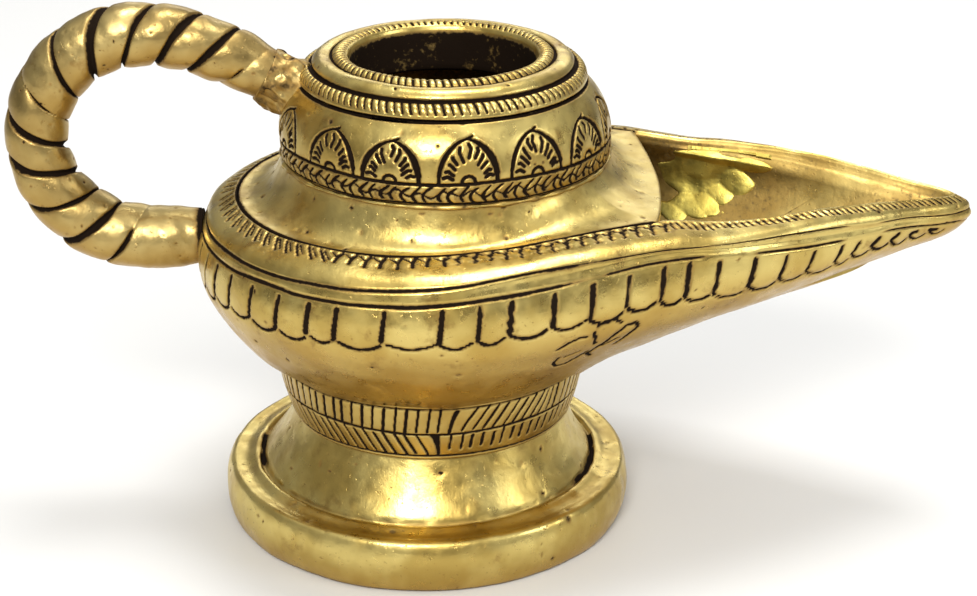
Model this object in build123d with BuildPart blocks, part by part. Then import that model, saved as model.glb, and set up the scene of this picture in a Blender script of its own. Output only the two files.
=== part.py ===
from build123d import *
import os
from math import acos, cos, sin, sqrt

# Cast brass oil lamp: hollow foot, neck band, round bowl drawn out into an open pouring spout, deck
# over the oil well, collar, rim round the filling mouth, and a rope-twisted loop handle.
# Millimetres. +Z is up, +X points along the spout. The origin is the centre of the foot's rest face.

os.makedirs("parts", exist_ok=True)

# ---- driving dimensions -------------------------------------------------------------------------
FIT = 0.05                  # radial play of each register ring in its socket
REGISTER_H = 2.0            # height of the register rings of the foot, the bowl and the collar
REGISTER_WALL = 2.2

FOOT_REST_R = 28.2          # outer radius of the ring that the lamp stands on
FOOT_REST_WIDTH = 3.2
FOOT_MAX_R = 29.0           # widest radius of the foot's rolled edge
FOOT_MAX_Z = 4.0
FOOT_CREST_R = 28.2         # top outer corner of the foot ring
FOOT_CREST_Z = 7.5
FOOT_CREST_FILLET = 0.8
STEP_R = 23.8               # groove between the foot ring and its cone
STEP_Z = 7.6
STEP_HALF = 0.8             # half the groove's width
STEP_RIM_Z = 8.3            # height of the groove's two edges
CONE_MID = (20.9, 12.0)     # the cone's outside, halfway up
FOOT_INSIDE_LOW = (23.8, 5.2)       # hollow of the foot, from the rest ring ...
FOOT_INSIDE_MID = (17.3, 9.4)
FOOT_BORE_R = 12.9                  # ... to the bore under the neck
FOOT_BORE_DEPTH = 1.5

NECK_X = 0.7                # the hand-made lamp's upper parts sit slightly forward of the foot's axis
NECK_FOOT_Z = 15.9          # where the neck band stands on the foot
NECK_TOP_Z = 24.7           # where the bowl stands on the neck band
NECK_FOOT_R = 19.9
NECK_MID_R = 21.2
NECK_TOP_R = 22.1
NECK_BORE_R = 16.0

# Plan outlines of the bowl: height, centre x, radius of the round back, x of the spout's point
HULL_LEVELS = [
    (NECK_TOP_Z, 0.7, NECK_TOP_R, 23.3),
    (26.2, 0.8, 24.7, 28.0),
    (29.0, 0.9, 27.8, 37.2),
    (33.0, 1.1, 30.6, 50.4),
    (38.0, 1.2, 32.7, 66.6),
    (42.5, 1.3, 32.5, 76.4),
    (46.0, 1.0, 30.4, 76.0),
    (50.5, 0.0, 25.6, 73.6),
]
# Plan outlines of the oil well and the spout channel inside it
WELL_LEVELS = [
    (27.6, 0.8, 20.0, 24.0),
    (29.9, 0.9, 24.6, 31.4),
    (33.4, 1.0, 27.8, 41.5),
    (38.0, 1.1, 29.8, 56.5),
    (42.0, 1.1, 29.0, 67.5),
    (45.6, 0.0, 24.4, 72.6),
]
HULL_BOW = 1.9              # radius of the bowed side over the spout's reach from the bowl's centre
WELL_BOW = 2.3
CHANNEL_TOP_Z = 54.0        # the channel and the deck seat are cut open up to here
TIP_BLUNT = 0.9             # rounding of the spout's point, in plan

# Side profile of the bowl's upper edge, which rises to the spout and falls to its point
LIP_Z = 47.6
LIP_RISES_X = 0.0
CREST = [(12.0, 47.9), (22.0, 49.1), (30.0, 49.3), (48.0, 48.4), (62.0, 47.4), (72.0, 45.7), (80.0, 43.6)]
CREST_END_SLOPE = -0.3
TRIM_BACK_X = -40.0         # size of the block that trims the bowl to its upper edge
TRIM_TOP_Z = 60.0
TRIM_WIDTH = 120.0

DECK_X = -0.2
DECK_R = 25.5               # the deck's round edge in the bowl's rebate
DECK_TIP_X = 73.8           # point of the outline that the deck's sides follow
DECK_FRONT_X = 32.1         # its front edge over the spout channel, a shallow arc
DECK_FRONT_R = 90.0
DECK_SEAT_Z = 45.6
DECK_SHOULDER = (25.7, 48.3)        # end of the sweep down from the collar ...
DECK_SWEEP_MID = (23.4, 50.2)
DECK_REACH = (42.0, 47.2)           # ... and the nearly flat run out to the edge
DECK_SOFFIT_R = 24.2
DECK_SOFFIT_MID = (21.6, 47.8)
DECK_HOLE_R = 20.9          # socket in the deck for the collar's register ring

TOP_X = 2.7                 # axis of the collar and the rim
COLLAR_FOOT_Z = 53.2
COLLAR_FOOT_R = 22.4
COLLAR_BAND = (22.5, 56.2)  # top of the upright band round the collar's foot
COLLAR_SHOULDER = (21.9, 60.3)
COLLAR_TOP_Z = 63.0
COLLAR_TOP_R = 19.9
COLLAR_BORE_R = 19.2
COLLAR_INSIDE_MID = (19.5, 58.6)

RIM_GROOVE = (19.4, 63.7)   # groove under the milled band
RIM_BAND_MID = (19.0, 65.1)
ROLL_FOOT = (17.9, 65.9)    # outer edge of the smooth roll
ROLL_TOP = (17.3, 66.9)
BEAD_FOOT = (16.2, 66.6)    # groove inside the roll
BEAD_TOP = (15.0, 67.1)
MOUTH_EDGE = (13.6, 66.9)
MOUTH_ROUND = (12.9, 66.8)
MOUTH_R = 12.6
MOUTH_Z = 66.2
MOUTH_FOOT_Z = 60.7
RIM_REGISTER_R = 17.0

HANDLE_R = 4.35             # the rope-twisted bar
HANDLE_LOW = (-30.0, 41.0)          # centreline in the XZ plane, from the bowl ...
HANDLE_LOW_BEND = (-38.6, 40.8)
HANDLE_BACK = (-52.7, 55.4)         # ... round the back of the finger loop ...
HANDLE_CROWN = (-38.0, 69.8)
HANDLE_FALL = (-30.6, 68.1)
HANDLE_END_RUN = 17.0               # ... and straight down to the collar
TENON_R = 2.0               # tenon of the handle's lower end, through the bowl's wall
TENON_LENGTH = 4.2
TENON_REACH = 1.2           # how far it passes the end of the bar
TENON_HOLE_REACH = 5.0      # how far the hole for it starts outside the end of the bar
TENON_HOLE_LENGTH = 8.0

BRAZE_WIDTH = 0.9           # width of the braze run round the collar's foot
HIGH_BUTT = 0.84            # share of the handle's last run that is outside the collar
HIGH_BRAZE_LENGTH = 3.0     # braze sleeve where the handle meets the collar
HIGH_BRAZE_R = 1.1          # how far it stands out from the bar
HIGH_BRAZE_SUNK = 3.5       # its length inside the collar's outline, before trimming
LOW_BUTT = 0.14             # share of the handle's first run that is inside the bowl
LOW_BRAZE_LENGTH = 1.0      # and the small sleeve where the handle meets the bowl
LOW_BRAZE_R = 0.45
LOW_BRAZE_SUNK = 1.5
PUDDLE_CENTRE = (43.7, 26.0, 35.5)  # ball whose cap is the braze puddle on the channel's wall
PUDDLE_R = 14.0

UPRIGHT = (0, 0, 1)
NECK_AXIS = Axis((NECK_X, 0, 0), UPRIGHT)
TOP_AXIS = Axis((TOP_X, 0, 0), UPRIGHT)
TOP_SECTION = Plane.XZ.shift_origin((TOP_X, 0, 0))
LOW_ALIGN = (Align.CENTER, Align.CENTER, Align.MIN)
HIGH_ALIGN = (Align.CENTER, Align.CENTER, Align.MAX)


# ---- shared outlines ----------------------------------------------------------------------------
def boat_outline(centre, radius, tip, bow):
    """Wire of a round back with two bowed sides that meet at the spout's point."""
    reach = tip - centre
    side = max(bow * reach, 1.05 * radius)
    swing = side - radius
    turn = acos(max(-1.0, min(1.0, (side**2 - swing**2 - reach**2) / (2 * reach * swing))))
    join = (centre + radius * cos(turn), radius * sin(turn))
    hub = (centre - swing * cos(turn), -swing * sin(turn))
    chord = ((join[0] + tip) / 2 - hub[0], join[1] / 2 - hub[1])
    size = sqrt(chord[0] ** 2 + chord[1] ** 2)
    bulge = (hub[0] + side * chord[0] / size, hub[1] + side * chord[1] / size)
    ThreePointArc((join[0], -join[1]), (centre - radius, 0), join)
    ThreePointArc(join, bulge, (tip, 0))
    ThreePointArc((tip, 0), (bulge[0], -bulge[1]), (join[0], -join[1]))


# ---- foot ---------------------------------------------------------------------------------------
with BuildPart() as foot:
    rest_inner = (FOOT_REST_R - FOOT_REST_WIDTH, 0)
    cone_foot = (STEP_R - STEP_HALF, STEP_RIM_Z)
    cone_top = (NECK_FOOT_R - NECK_X, NECK_FOOT_Z)
    bore_top = (FOOT_BORE_R, NECK_FOOT_Z)
    bore_foot = (FOOT_BORE_R, NECK_FOOT_Z - FOOT_BORE_DEPTH)
    with BuildSketch(Plane.XZ):
        with BuildLine():
            Line(rest_inner, (FOOT_REST_R, 0))
            ThreePointArc((FOOT_REST_R, 0), (FOOT_MAX_R, FOOT_MAX_Z), (FOOT_CREST_R, FOOT_CREST_Z))
            Polyline(
                (FOOT_CREST_R, FOOT_CREST_Z),
                (STEP_R + STEP_HALF, STEP_RIM_Z),
                (STEP_R, STEP_Z),
                cone_foot,
            )
            ThreePointArc(cone_foot, CONE_MID, cone_top)
            Polyline(cone_top, bore_top, bore_foot)
            ThreePointArc(bore_foot, FOOT_INSIDE_MID, FOOT_INSIDE_LOW)
            Line(FOOT_INSIDE_LOW, rest_inner)
        make_face()
    revolve(axis=Axis.Z)
    # register ring for the neck band, which stands a little forward of the foot's axis
    with BuildSketch(Plane.XY.offset(NECK_FOOT_Z)):
        with Locations((NECK_X, 0)):
            Circle(NECK_BORE_R - FIT)
            Circle(NECK_BORE_R - FIT - REGISTER_WALL, mode=Mode.SUBTRACT)
    extrude(amount=REGISTER_H)
    crest_edge = foot.edges().filter_by(GeomType.CIRCLE).sort_by(
        lambda edge: abs(edge.radius - FOOT_CREST_R) + abs(edge.center().Z - FOOT_CREST_Z)
    )[0]
    fillet(crest_edge, radius=FOOT_CREST_FILLET)

foot.part.label = "foot"

# ---- neck band ----------------------------------------------------------------------------------
with BuildPart() as neck_band:
    with BuildSketch(Plane.XZ.shift_origin((NECK_X, 0, 0))):
        with BuildLine():
            Line((NECK_BORE_R, NECK_FOOT_Z), (NECK_FOOT_R, NECK_FOOT_Z))
            ThreePointArc(
                (NECK_FOOT_R, NECK_FOOT_Z),
                (NECK_MID_R, (NECK_FOOT_Z + NECK_TOP_Z) / 2),
                (NECK_TOP_R, NECK_TOP_Z),
            )
            Polyline((NECK_TOP_R, NECK_TOP_Z), (NECK_BORE_R, NECK_TOP_Z), (NECK_BORE_R, NECK_FOOT_Z))
        make_face()
    revolve(axis=NECK_AXIS)

neck_band.part.label = "neck_band"

# ---- bowl with its spout ------------------------------------------------------------------------
with BuildPart() as hull:
    for height, centre, radius, tip in HULL_LEVELS:
        with BuildSketch(Plane.XY.offset(height)) as level:
            with BuildLine():
                boat_outline(centre, radius, tip, HULL_BOW)
            make_face()
            fillet(level.vertices().sort_by(Axis.X)[-1], radius=TIP_BLUNT)
    loft()
    with BuildSketch(Plane.XZ.offset(-TRIM_WIDTH / 2)):
        with BuildLine():
            Line((TRIM_BACK_X, LIP_Z), (LIP_RISES_X, LIP_Z))
            Spline((LIP_RISES_X, LIP_Z), *CREST, tangents=[(1, 0), (1, CREST_END_SLOPE)])
            Polyline(
                CREST[-1],
                (CREST[-1][0], TRIM_TOP_Z),
                (TRIM_BACK_X, TRIM_TOP_Z),
                (TRIM_BACK_X, LIP_Z),
            )
        make_face()
    extrude(amount=TRIM_WIDTH, mode=Mode.SUBTRACT)

with BuildPart() as well:
    for height, centre, radius, tip in WELL_LEVELS:
        with BuildSketch(Plane.XY.offset(height)) as level:
            with BuildLine():
                boat_outline(centre, radius, tip, WELL_BOW)
            make_face()
            fillet(level.vertices().sort_by(Axis.X)[-1], radius=TIP_BLUNT)
    loft()
    extrude(well.faces().sort_by(Axis.Z)[-1], amount=CHANNEL_TOP_Z - WELL_LEVELS[-1][0])

with BuildPart() as deck_seat:
    with BuildSketch(Plane.XY.offset(DECK_SEAT_Z)):
        with BuildLine():
            boat_outline(DECK_X, DECK_R, DECK_TIP_X, WELL_BOW)
        make_face()
        with Locations((DECK_FRONT_X - DECK_FRONT_R, 0)):
            Circle(DECK_FRONT_R, mode=Mode.INTERSECT)
    extrude(amount=CHANNEL_TOP_Z - DECK_SEAT_Z)

with BuildPart() as bowl:
    add(hull.part)
    add(well.part, mode=Mode.SUBTRACT)
    add(deck_seat.part, mode=Mode.SUBTRACT)
    with BuildSketch(Plane.XY.offset(NECK_TOP_Z)):
        with Locations((NECK_X, 0)):
            Circle(NECK_BORE_R - FIT)
            Circle(NECK_BORE_R - FIT - REGISTER_WALL, mode=Mode.SUBTRACT)
    extrude(amount=-REGISTER_H)
    with BuildSketch(Plane.YZ.offset(HANDLE_LOW[0] - TENON_HOLE_REACH)):
        with Locations((0, HANDLE_LOW[1])):
            Circle(TENON_R + FIT)
    extrude(amount=TENON_HOLE_LENGTH, mode=Mode.SUBTRACT)

bowl.part.label = "bowl"

# ---- deck over the oil well ---------------------------------------------------------------------
with BuildPart() as deck_cover:
    socket_foot = (DECK_HOLE_R, COLLAR_FOOT_Z - REGISTER_H)
    soffit_edge = (DECK_SOFFIT_R, DECK_SEAT_Z)
    with BuildSketch(TOP_SECTION):
        with BuildLine():
            Line((DECK_HOLE_R, COLLAR_FOOT_Z), (COLLAR_FOOT_R, COLLAR_FOOT_Z))
            ThreePointArc((COLLAR_FOOT_R, COLLAR_FOOT_Z), DECK_SWEEP_MID, DECK_SHOULDER)
            Polyline(DECK_SHOULDER, DECK_REACH, (DECK_REACH[0], DECK_SEAT_Z), soffit_edge)
            ThreePointArc(soffit_edge, DECK_SOFFIT_MID, socket_foot)
            Line(socket_foot, (DECK_HOLE_R, COLLAR_FOOT_Z))
        make_face()
    revolve(axis=TOP_AXIS)
    add(deck_seat.part, mode=Mode.INTERSECT)

deck_cover.part.label = "deck_cover"

# ---- collar -------------------------------------------------------------------------------------
with BuildPart() as collar_blank:
    with BuildSketch(TOP_SECTION):
        with BuildLine():
            Polyline((0, COLLAR_FOOT_Z), (COLLAR_FOOT_R, COLLAR_FOOT_Z), COLLAR_BAND)
            ThreePointArc(COLLAR_BAND, COLLAR_SHOULDER, (COLLAR_TOP_R, COLLAR_TOP_Z))
            Polyline((COLLAR_TOP_R, COLLAR_TOP_Z), (0, COLLAR_TOP_Z), (0, COLLAR_FOOT_Z))
        make_face()
    revolve(axis=TOP_AXIS)

with BuildPart() as collar:
    add(collar_blank.part)
    rim_socket = (RIM_REGISTER_R + FIT, MOUTH_FOOT_Z)
    with BuildSketch(TOP_SECTION):
        with BuildLine():
            Line((0, COLLAR_FOOT_Z), (COLLAR_BORE_R, COLLAR_FOOT_Z))
            ThreePointArc((COLLAR_BORE_R, COLLAR_FOOT_Z), COLLAR_INSIDE_MID, rim_socket)
            Polyline(
                rim_socket,
                (RIM_REGISTER_R + FIT, COLLAR_TOP_Z),
                (0, COLLAR_TOP_Z),
                (0, COLLAR_FOOT_Z),
            )
        make_face()
    revolve(axis=TOP_AXIS, mode=Mode.SUBTRACT)
    with BuildSketch(Plane.XY.offset(COLLAR_FOOT_Z)):
        with Locations((TOP_X, 0)):
            Circle(DECK_HOLE_R - FIT)
            Circle(COLLAR_BORE_R, mode=Mode.SUBTRACT)
    extrude(amount=-REGISTER_H)

collar.part.label = "collar"

# ---- rim round the filling mouth ----------------------------------------------------------------
with BuildPart() as rim_ring:
    with BuildSketch(TOP_SECTION):
        with BuildLine():
            Polyline(
                (MOUTH_R, MOUTH_FOOT_Z),
                (RIM_REGISTER_R, MOUTH_FOOT_Z),
                (RIM_REGISTER_R, COLLAR_TOP_Z),
                (COLLAR_TOP_R, COLLAR_TOP_Z),
                RIM_GROOVE,
            )
            ThreePointArc(RIM_GROOVE, RIM_BAND_MID, ROLL_FOOT)
            ThreePointArc(ROLL_FOOT, ROLL_TOP, BEAD_FOOT)
            ThreePointArc(BEAD_FOOT, BEAD_TOP, MOUTH_EDGE)
            ThreePointArc(MOUTH_EDGE, MOUTH_ROUND, (MOUTH_R, MOUTH_Z))
            Line((MOUTH_R, MOUTH_Z), (MOUTH_R, MOUTH_FOOT_Z))
        make_face()
    revolve(axis=TOP_AXIS)

rim_ring.part.label = "rim_ring"

# ---- rope handle --------------------------------------------------------------------------------
# A bar bent into a finger loop. Its lower end butts on the bowl, with a tenon through the wall, and
# its upper end butts on the collar.
with BuildPart() as handle:
    with BuildLine(Plane.XZ) as loop:
        low_run = Line(HANDLE_LOW, HANDLE_LOW_BEND)
        low_bend = TangentArc(HANDLE_LOW_BEND, HANDLE_BACK, tangent=low_run % 1)
        high_bend = TangentArc(HANDLE_BACK, HANDLE_CROWN, tangent=low_bend % 1)
        fall_bend = TangentArc(HANDLE_CROWN, HANDLE_FALL, tangent=high_bend % 1)
        end_run = Line(fall_bend @ 1, (fall_bend @ 1) + (fall_bend % 1) * HANDLE_END_RUN)
    with BuildSketch(Plane(origin=loop.line @ 0, z_dir=loop.line % 0)):
        Circle(HANDLE_R)
    sweep(path=loop.line)
    add(hull.part, mode=Mode.SUBTRACT)
    add(collar_blank.part, mode=Mode.SUBTRACT)
    add(rim_ring.part, mode=Mode.SUBTRACT)
    with BuildSketch(Plane.YZ.offset(HANDLE_LOW[0] + TENON_REACH - TENON_LENGTH)):
        with Locations((0, HANDLE_LOW[1])):
            Circle(TENON_R)
    extrude(amount=TENON_LENGTH)

handle.part.label = "handle"

# ---- brazed joints ------------------------------------------------------------------------------
with BuildPart() as collar_braze:
    with BuildSketch(TOP_SECTION):
        with BuildLine():
            Polyline(
                (COLLAR_FOOT_R - BRAZE_WIDTH / 2, COLLAR_FOOT_Z + BRAZE_WIDTH),
                (COLLAR_FOOT_R + BRAZE_WIDTH, COLLAR_FOOT_Z - BRAZE_WIDTH),
                (COLLAR_FOOT_R - BRAZE_WIDTH / 2, COLLAR_FOOT_Z - BRAZE_WIDTH),
                close=True,
            )
        make_face()
    revolve(axis=TOP_AXIS)
    add(collar_blank.part, mode=Mode.SUBTRACT)
    add(deck_cover.part, mode=Mode.SUBTRACT)

collar_braze.part.label = "collar_braze"

with BuildPart() as handle_high_braze:
    with Locations(Plane(origin=end_run @ HIGH_BUTT, z_dir=end_run % 0).location):
        Cone(HANDLE_R, HANDLE_R + HIGH_BRAZE_R, HIGH_BRAZE_LENGTH, align=HIGH_ALIGN)
        Cylinder(HANDLE_R + HIGH_BRAZE_R, HIGH_BRAZE_SUNK, align=LOW_ALIGN)
    add(collar_blank.part, mode=Mode.SUBTRACT)
    add(rim_ring.part, mode=Mode.SUBTRACT)
    add(handle.part, mode=Mode.SUBTRACT)

handle_high_braze.part.label = "handle_high_braze"

with BuildPart() as handle_low_braze:
    with Locations(Plane(origin=low_run @ LOW_BUTT, z_dir=-(low_run % 0)).location):
        Cone(HANDLE_R, HANDLE_R + LOW_BRAZE_R, LOW_BRAZE_LENGTH, align=HIGH_ALIGN)
        Cylinder(HANDLE_R + LOW_BRAZE_R, LOW_BRAZE_SUNK, align=LOW_ALIGN)
    add(hull.part, mode=Mode.SUBTRACT)
    add(handle.part, mode=Mode.SUBTRACT)

handle_low_braze.part.label = "handle_low_braze"

with BuildPart() as spout_braze:
    with Locations(PUDDLE_CENTRE):
        Sphere(PUDDLE_R)
    add(well.part, mode=Mode.INTERSECT)
    add(deck_cover.part, mode=Mode.SUBTRACT)

spout_braze.part.label = "spout_braze"

for piece in (
    foot, neck_band, bowl, deck_cover, collar, rim_ring, handle,
    collar_braze, handle_high_braze, handle_low_braze, spout_braze,
):
    export_step(piece.part, f"parts/{piece.part.label}.step")
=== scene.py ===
import math

import bpy
import numpy as np
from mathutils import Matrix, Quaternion, Vector


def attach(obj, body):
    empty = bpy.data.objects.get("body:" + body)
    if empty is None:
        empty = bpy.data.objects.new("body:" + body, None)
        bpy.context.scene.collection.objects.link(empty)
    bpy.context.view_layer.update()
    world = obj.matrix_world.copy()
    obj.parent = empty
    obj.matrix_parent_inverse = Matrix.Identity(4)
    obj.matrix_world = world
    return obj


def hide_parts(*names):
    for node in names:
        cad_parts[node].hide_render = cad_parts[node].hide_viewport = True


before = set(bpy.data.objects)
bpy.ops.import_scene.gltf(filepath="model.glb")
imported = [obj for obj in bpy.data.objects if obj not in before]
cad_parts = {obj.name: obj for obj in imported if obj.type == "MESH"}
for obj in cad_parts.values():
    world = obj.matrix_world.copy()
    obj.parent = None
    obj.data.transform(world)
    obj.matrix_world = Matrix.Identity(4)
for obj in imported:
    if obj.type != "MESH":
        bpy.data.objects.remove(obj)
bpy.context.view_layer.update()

MM = 0.001
FRONT = -math.pi / 2        # the side of the lamp that faces -Y
FULL_TURN = 2 * math.pi


# ---- curves and noise ----
def smooth(xs, ys, q):
    """Smooth curve through the points (xs, ys), read at q."""
    xs, ys = np.asarray(xs, float), np.asarray(ys, float)
    slope = np.gradient(ys, xs)
    i = np.clip(np.searchsorted(xs, q) - 1, 0, len(xs) - 2)
    span = xs[i + 1] - xs[i]
    t = np.clip((q - xs[i]) / span, 0, 1)
    a, b = slope[i] * span, slope[i + 1] * span
    step = 3 * t**2 - 2 * t**3
    return ys[i] * (1 - step) + ys[i + 1] * step + a * (t**3 - 2 * t**2 + t) + b * (t**3 - t**2)


def ramp(q, low, high):
    """0 below low, 1 above high, smooth between."""
    t = np.clip((q - low) / (high - low), 0, 1)
    return t * t * (3 - 2 * t)


def waves(points, size, seed, count=7):
    """Soft random undulation of about -1 to 1, with features of that size in mm."""
    rng = np.random.default_rng(seed)
    total = np.zeros(points.shape[:-1])
    for _ in range(count):
        direction = rng.normal(size=3)
        direction *= FULL_TURN / (size * rng.uniform(0.7, 1.8)) / np.linalg.norm(direction)
        total += np.sin(points @ direction + rng.uniform(0, FULL_TURN))
    return total / math.sqrt(count)


def round_angles(count):
    return np.linspace(0, FULL_TURN, count, endpoint=False)


def arc(start, through, end, count):
    """Points on the circle arc from start through a middle point to end."""
    (ax, ay), (bx, by), (cx, cy) = start, through, end
    d = 2 * (ax * (by - cy) + bx * (cy - ay) + cx * (ay - by))
    a2, b2, c2 = ax * ax + ay * ay, bx * bx + by * by, cx * cx + cy * cy
    ux = (a2 * (by - cy) + b2 * (cy - ay) + c2 * (ay - by)) / d
    uy = (a2 * (cx - bx) + b2 * (ax - cx) + c2 * (bx - ax)) / d
    r = math.hypot(ax - ux, ay - uy)
    t0, t1, t2 = (math.atan2(p[1] - uy, p[0] - ux) for p in (start, through, end))
    turn = (t2 - t0) % FULL_TURN
    if (t1 - t0) % FULL_TURN > turn:
        turn -= FULL_TURN
    t = t0 + turn * np.linspace(0, 1, count)
    return list(zip(ux + r * np.cos(t), uy + r * np.sin(t)))


def respace(points, step):
    """The same path with points about step apart; returns points and their distance along it."""
    points = np.asarray(points, float)
    run = np.concatenate([[0], np.cumsum(np.linalg.norm(np.diff(points, axis=0), axis=1))])
    count = max(2, int(round(run[-1] / step)) + 1)
    s = np.linspace(0, run[-1], count)
    return np.stack([np.interp(s, run, points[:, k]) for k in range(points.shape[1])], 1), s


# ---- relief: what the graver cuts ----
class Relief:
    """Height in mm over a grid of points, and how much tarnish, and in places painted shade, darkens it,
    from 0 to 1.
    """

    def __init__(self, shape):
        self.height = np.zeros(shape)
        self.dirt_and_shade = np.zeros(shape)

    def cut(self, distance, half, depth, dark=1.0):
        """A round-bottomed groove where distance from its line is under half."""
        profile = np.clip(1 - (distance / half) ** 2, 0, 1)
        self.height = np.minimum(self.height, -depth * profile)
        self.stain(dark * np.exp(-((distance / (0.95 * half)) ** 4)))
        self.stain(0.22 * dark * np.exp(-((distance / (2.4 * half)) ** 2)))

    def stain(self, dirt_and_shade):
        self.dirt_and_shade = np.maximum(self.dirt_and_shade, dirt_and_shade)

    def join(self, block, part):
        """Brings in a part worked out for a block of the grid alone."""
        self.height[block] = np.minimum(self.height[block], part.height)
        self.dirt_and_shade[block] = np.maximum(self.dirt_and_shade[block], part.dirt_and_shade)

    def strokes(self, a, b, lines, half, depth, dark=1.0):
        """Cuts along polylines in the local plane (a, b); the ends of each stroke run out."""
        near = np.full(a.shape, 1e9)
        for line in lines:
            near = np.minimum(near, line_distance(a, b, line))
        self.cut(near, half, depth, dark)

    def pits(self, points, count, size, depth, seed, low=0, high=99):
        """Small casting pits and dents scattered over the surface between two heights."""
        rng = np.random.default_rng(seed)
        flat = points.reshape(-1, 3)
        allowed = np.where((flat[:, 2] > low) & (flat[:, 2] < high))[0]
        for centre in flat[rng.choice(allowed, count)]:
            radius = size * rng.uniform(0.5, 1.3)
            d = np.linalg.norm((points - centre) * rng.uniform(0.7, 1.4, 3), axis=-1)
            self.height -= depth * np.exp(-((d / radius) ** 2))
            self.stain(0.75 * rng.uniform(0.4, 1) * np.exp(-((d / radius) ** 4)))


def line_distance(a, b, line):
    """Distance of the points (a, b) from a polyline."""
    near = np.full(np.shape(a), 1e9)
    for (x0, y0), (x1, y1) in zip(line[:-1], line[1:]):
        dx, dy = x1 - x0, y1 - y0
        t = np.clip(((a - x0) * dx + (b - y0) * dy) / (dx * dx + dy * dy), 0, 1)
        near = np.minimum(near, np.hypot(a - x0 - t * dx, b - y0 - t * dy))
    return near


def raised(points, lift, capped=False):
    """A grid whose columns wrap, moved along its normals by lift, in mm; its rows wrap unless capped."""
    across = np.roll(points, -1, axis=1) - np.roll(points, 1, axis=1)
    if capped:
        along = np.gradient(points, axis=0)
    else:
        along = np.roll(points, -1, axis=0) - np.roll(points, 1, axis=0)
    normal = np.cross(across, along)
    size = np.linalg.norm(normal, axis=-1, keepdims=True)
    return points + normal / np.maximum(size, 1e-9) * lift[..., None]


def stand_in(name, mesh, dirt_and_shade, material, node):
    """Gives the mesh its tarnish and painted shade, which the material reads, and lets it stand for a CAD
    node.
    """
    layer = mesh.attributes.new("dirt_and_shade", "FLOAT", "POINT")
    layer.data.foreach_set("value", dirt_and_shade.reshape(-1).astype(np.float32))
    mesh.materials.append(material)
    piece = bpy.data.objects.new(name, mesh)
    bpy.context.scene.collection.objects.link(piece)
    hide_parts(node)
    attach(piece, "root")


def make_piece(name, points, dirt_and_shade, material, node, capped=False):
    """Closed mesh from a grid of points in mm whose columns wrap; its rows wrap or its ends are capped."""
    rows, cols = points.shape[:2]
    index = np.arange(rows * cols).reshape(rows, cols)
    first = np.arange(rows - 1 if capped else rows)
    a, b = index[first], index[(first + 1) % rows]
    faces = np.stack([a, np.roll(a, -1, 1), np.roll(b, -1, 1), b], -1).reshape(-1, 4)
    sizes = np.full(len(faces), 4)
    loops = faces.reshape(-1)
    if capped:
        loops = np.concatenate([loops, index[0][::-1], index[-1]])
        sizes = np.concatenate([sizes, [cols, cols]])
    mesh = bpy.data.meshes.new(name)
    mesh.vertices.add(rows * cols)
    mesh.vertices.foreach_set("co", points.ravel() * MM)
    mesh.loops.add(len(loops))
    mesh.loops.foreach_set("vertex_index", loops)
    mesh.polygons.add(len(sizes))
    mesh.polygons.foreach_set("loop_start", np.concatenate([[0], np.cumsum(sizes)[:-1]]))
    mesh.polygons.foreach_set("loop_total", sizes)
    mesh.polygons.foreach_set("use_smooth", np.ones(len(sizes), bool))
    mesh.update(calc_edges=True)
    mesh.validate()
    stand_in(name, mesh, dirt_and_shade, material, node)


def turned_shell(outside, inside, outer_step, inner_step, count, axis_x):
    """Profiles of (r, z) turned about an upright axis, whose x may change with z.

    Returns the grid, its angles, the outside profile, the run along it and a relief for it alone.
    """
    outer, run = respace(outside, outer_step)
    inner, _ = respace(inside, inner_step)
    r, z = np.hsplit(np.concatenate([outer, inner]), 2)
    angle = round_angles(count) + FRONT
    x0 = axis_x(z) if callable(axis_x) else axis_x
    points = np.stack([x0 + r * np.cos(angle), r * np.sin(angle), z + 0 * angle], -1)
    band = Relief((len(outer), count))
    height = np.broadcast_to(run[:, None], band.height.shape)
    return points, angle, outer, height, band


def shell_relief(points, band, hidden):
    """Relief of a whole shell from that of its outside, with the tarnish of the hidden rest."""
    relief = Relief(points.shape[:2])
    rows = len(band.height)
    relief.height[:rows], relief.dirt_and_shade[:rows] = band.height, band.dirt_and_shade
    relief.dirt_and_shade[rows:] = hidden
    return relief


def cells(share, count):
    """Which of count equal cells round a piece a place falls in, and its offset from their middle."""
    return np.floor(share).astype(int) % count, share - np.floor(share) - 0.5


def from_front(angle):
    """The same angle counted from the front, between -pi and pi."""
    return (angle - FRONT + math.pi) % FULL_TURN - math.pi


def finish_turned(name, node, points, relief, material, uneven=0.05):
    """Adds the relief and the hand-worked unevenness along the normals, and makes the piece."""
    lift = relief.height + uneven * waves(points, 9.0, 3) + 0.4 * uneven * waves(points, 3.5, 4)
    moved = raised(points, lift)
    moved[..., 2] = np.maximum(moved[..., 2], 0)
    make_piece(name, moved, relief.dirt_and_shade, material, node)


# ---- materials ----
BRASS_LIGHT = (0.70, 0.55, 0.185, 1)
BRASS_DEEP = (0.50, 0.355, 0.095, 1)
BRASS_BROWN = (0.29, 0.17, 0.048, 1)
BRASS_SHADED_UNDERSIDE = (0.42, 0.245, 0.05, 1)      # painted shade: darker brass on faces that look down, standing in for the light they lack
# near black for tarnish in the cuts, also used for painted shade
TARNISH_AND_SHADE = (0.012, 0.007, 0.004, 1)


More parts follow.
